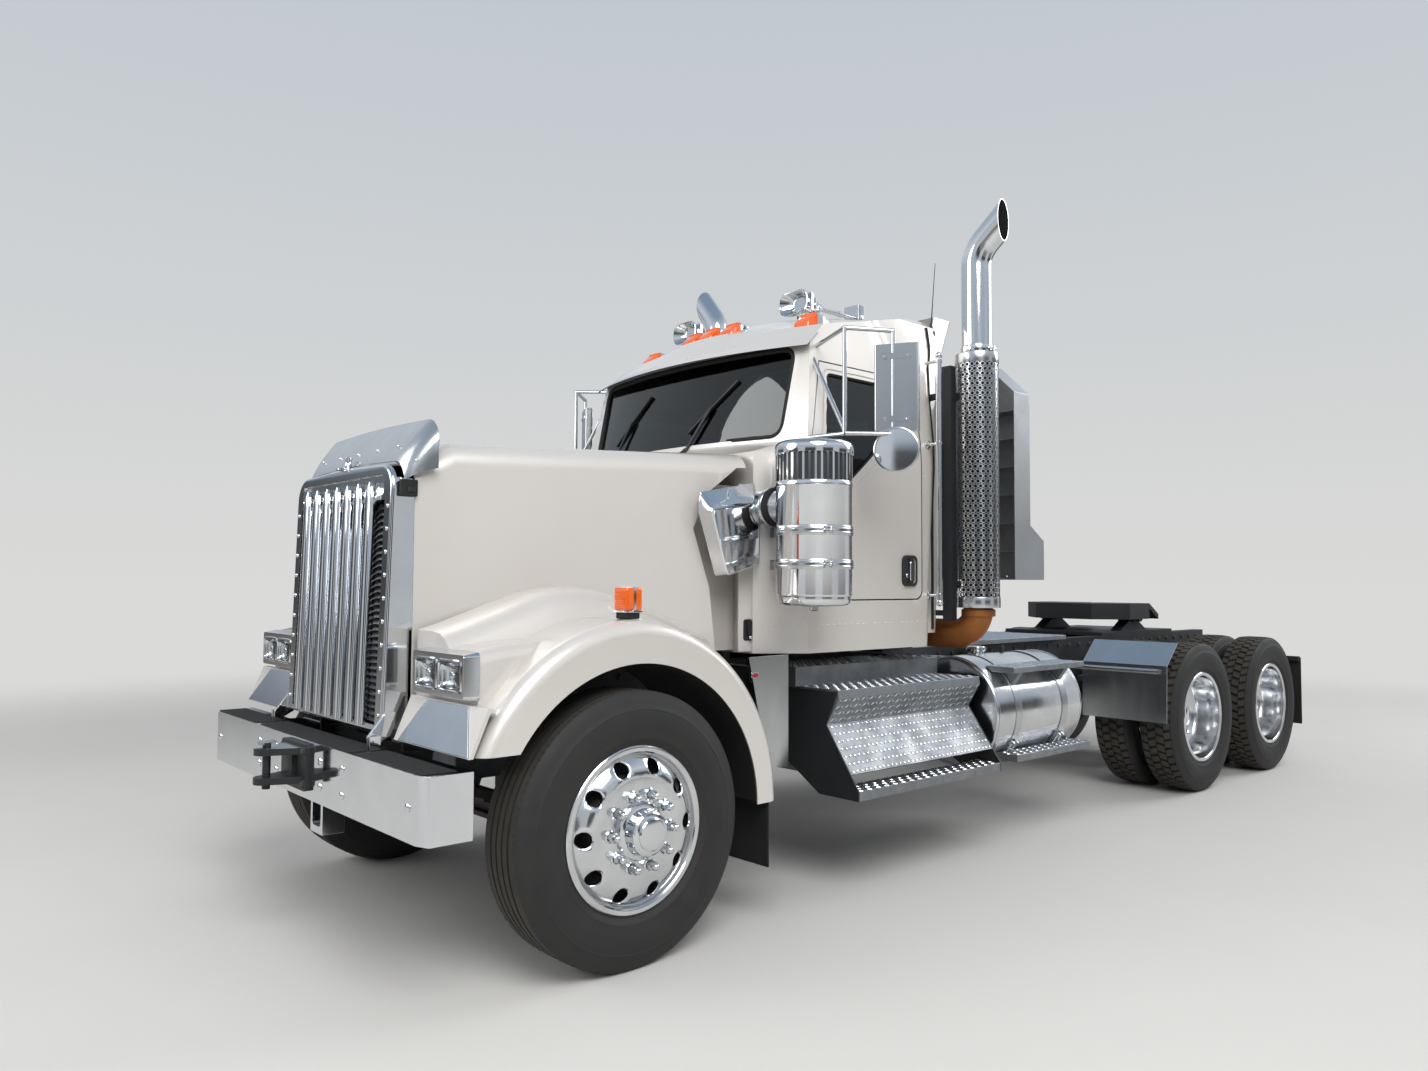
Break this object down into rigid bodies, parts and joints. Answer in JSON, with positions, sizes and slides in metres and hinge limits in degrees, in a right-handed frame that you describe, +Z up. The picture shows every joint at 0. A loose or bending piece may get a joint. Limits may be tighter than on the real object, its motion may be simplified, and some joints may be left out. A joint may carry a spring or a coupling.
{
  "type": "semi truck tractor unit",
  "caption": "Long-nose conventional tractor unit with a day cab, tall bar grille, round fenders, side fuel tanks, twin exhaust stacks, cab guard, tandem drive axle and a tilting fifth wheel.",
  "frame": {"origin": "on the ground, under the middle of the overall box", "axes": "+X forward, +Y to the driver's side (left), +Z up"},
  "size_m": [8.24, 2.8266, 3.6646],
  "materials": {
    "body_paint": "metallic pearl, champagne silver",
    "chrome_trim": "bright chrome plate",
    "frame_black": "semi-gloss black chassis paint",
    "axle_iron": "black painted casting",
    "engine_grey": "grey painted casting",
    "core_metal": "black finned core",
    "bare_aluminium": "brushed sheet",
    "polished_aluminium": "polished",
    "tread_plate": "raised-pattern plate",
    "rubber_black": "matt moulded",
    "tyre_black": "road-worn tread and sidewall",
    "black_plastic": "fine grain",
    "cabin_grey": "grained",
    "seat_cloth": "woven",
    "tinted_glass": "tinted, polished",
    "lamp_glass": "fluted clear",
    "amber_lens": "clear amber lens",
    "smoke_acrylic": "smoked"
  },
  "bodies": {
    "chassis": {"frame_rails": "frame_black", "front_axle": "axle_iron", "rear_suspension": "frame_black", "engine_block": "engine_grey", "drive_axles": "axle_iron", "radiator": "core_metal", "bumper": "chrome_trim", "tow_hitch": "frame_black", "cab_shell": "body_paint", "cab_glass": "tinted_glass", "sun_visor": "body_paint", "roof_lamps": "amber_lens", "air_horns": "chrome_trim", "air_cleaners": "chrome_trim", "exhaust_stacks": "chrome_trim", "stack_shields": "chrome_trim", "side_brackets": "frame_black", "grab_rails": "chrome_trim", "cab_guard": "bare_aluminium", "fuel_tanks": "polished_aluminium", "tank_straps": "chrome_trim", "tread_plates": "tread_plate", "quarter_fenders": "chrome_trim", "rear_mudflaps": "rubber_black", "fifth_base": "frame_black", "mirrors": "chrome_trim", "dashboard": "cabin_grey", "seats": "seat_cloth", "cowl_skirts": "chrome_trim", "wipers": "black_plastic"},
    "hood": {"hood_shell": "body_paint", "fenders": "body_paint", "fender_liners": "black_plastic", "grille": "chrome_trim", "grille_screen": "frame_black", "lamp_trim": "chrome_trim", "headlamp_lenses": "lamp_glass", "turn_lamps": "amber_lens", "bug_deflector": "smoke_acrylic"},
    "knuckle_left": {"knuckle_left": "axle_iron"},
    "knuckle_right": {"knuckle_right": "axle_iron"},
    "tie_rod": {"tie_rod": "axle_iron"},
    "fifth_plate": {"fifth_plate": "axle_iron"},
    "steering_wheel": {"steering_wheel": "black_plastic"},
    "wheel_front_left": {"tyre_front_left": "tyre_black", "wheel_front_left": "polished_aluminium"},
    "wheels_drive_1_left": {"tyres_drive_1_left": "tyre_black", "wheels_drive_1_left": "polished_aluminium"},
    "wheels_drive_2_left": {"tyres_drive_2_left": "tyre_black", "wheels_drive_2_left": "polished_aluminium"},
    "door_left": {"door_left": "body_paint", "door_glass_left": "tinted_glass"},
    "wheel_front_right": {"tyre_front_right": "tyre_black", "wheel_front_right": "polished_aluminium"},
    "wheels_drive_1_right": {"tyres_drive_1_right": "tyre_black", "wheels_drive_1_right": "polished_aluminium"},
    "wheels_drive_2_right": {"tyres_drive_2_right": "tyre_black", "wheels_drive_2_right": "polished_aluminium"},
    "door_right": {"door_right": "body_paint", "door_glass_right": "tinted_glass"}
  },
  "joints": [
    {"name": "hood_hinge", "type": "hinge", "parent": "chassis", "child": "hood", "pos_m": [3.85, 0, 0.885], "axis": [0, 1, 0], "range_deg": [0, 65]},
    {"name": "steer_left", "type": "hinge", "parent": "chassis", "child": "knuckle_left", "pos_m": [3.06, 0.905, 0.54], "axis": [0, 0, 1], "range_deg": [-38, 38]},
    {"name": "steer_right", "type": "hinge", "parent": "chassis", "child": "knuckle_right", "pos_m": [3.06, -0.905, 0.54], "axis": [0, 0, 1], "range_deg": [-38, 38]},
    {"name": "tie_rod_pivot", "type": "hinge", "parent": "knuckle_left", "child": "tie_rod", "pos_m": [2.87, 0.905, 0.43], "axis": [0, 0, 1], "range_deg": [-38, 38]},
    {"name": "steering_wheel_turn", "type": "hinge", "parent": "chassis", "child": "steering_wheel", "pos_m": [1.5, 0.48, 2.01], "axis": [-0.4695, 0, 0.8829], "range_deg": [-608, 608]},
    {"name": "fifth_wheel_tilt", "type": "hinge", "parent": "chassis", "child": "fifth_plate", "pos_m": [-2.74, 0, 1.238], "axis": [0, 1, 0], "range_deg": [-10, 10]},
    {"name": "wheel_front_left_spin", "type": "hinge", "parent": "knuckle_left", "child": "wheel_front_left", "pos_m": [3.06, 1.0545, 0.54], "axis": [0, 1, 0], "continuous": true},
    {"name": "wheels_drive_1_left_spin", "type": "hinge", "parent": "chassis", "child": "wheels_drive_1_left", "pos_m": [-2.16, 0.8975, 0.54], "axis": [0, 1, 0], "continuous": true},
    {"name": "wheels_drive_2_left_spin", "type": "hinge", "parent": "chassis", "child": "wheels_drive_2_left", "pos_m": [-3.48, 0.8975, 0.54], "axis": [0, 1, 0], "continuous": true},
    {"name": "door_left_hinge", "type": "hinge", "parent": "chassis", "child": "door_left", "pos_m": [1.8095, 0.962, 1.8], "axis": [0, 0, -1], "range_deg": [0, 52]},
    {"name": "wheel_front_right_spin", "type": "hinge", "parent": "knuckle_right", "child": "wheel_front_right", "pos_m": [3.06, -1.0545, 0.54], "axis": [0, 1, 0], "continuous": true},
    {"name": "wheels_drive_1_right_spin", "type": "hinge", "parent": "chassis", "child": "wheels_drive_1_right", "pos_m": [-2.16, -0.8975, 0.54], "axis": [0, 1, 0], "continuous": true},
    {"name": "wheels_drive_2_right_spin", "type": "hinge", "parent": "chassis", "child": "wheels_drive_2_right", "pos_m": [-3.48, -0.8975, 0.54], "axis": [0, 1, 0], "continuous": true},
    {"name": "door_right_hinge", "type": "hinge", "parent": "chassis", "child": "door_right", "pos_m": [1.8095, -0.962, 1.8], "axis": [0, 0, 1], "range_deg": [0, 52]}
  ],
  "couplings": [
    {"joint": "steer_right", "follows": "steer_left", "ratio": 1},
    {"joint": "tie_rod_pivot", "follows": "steer_left", "ratio": -1},
    {"joint": "steering_wheel_turn", "follows": "steer_left", "ratio": 16}
  ]
}
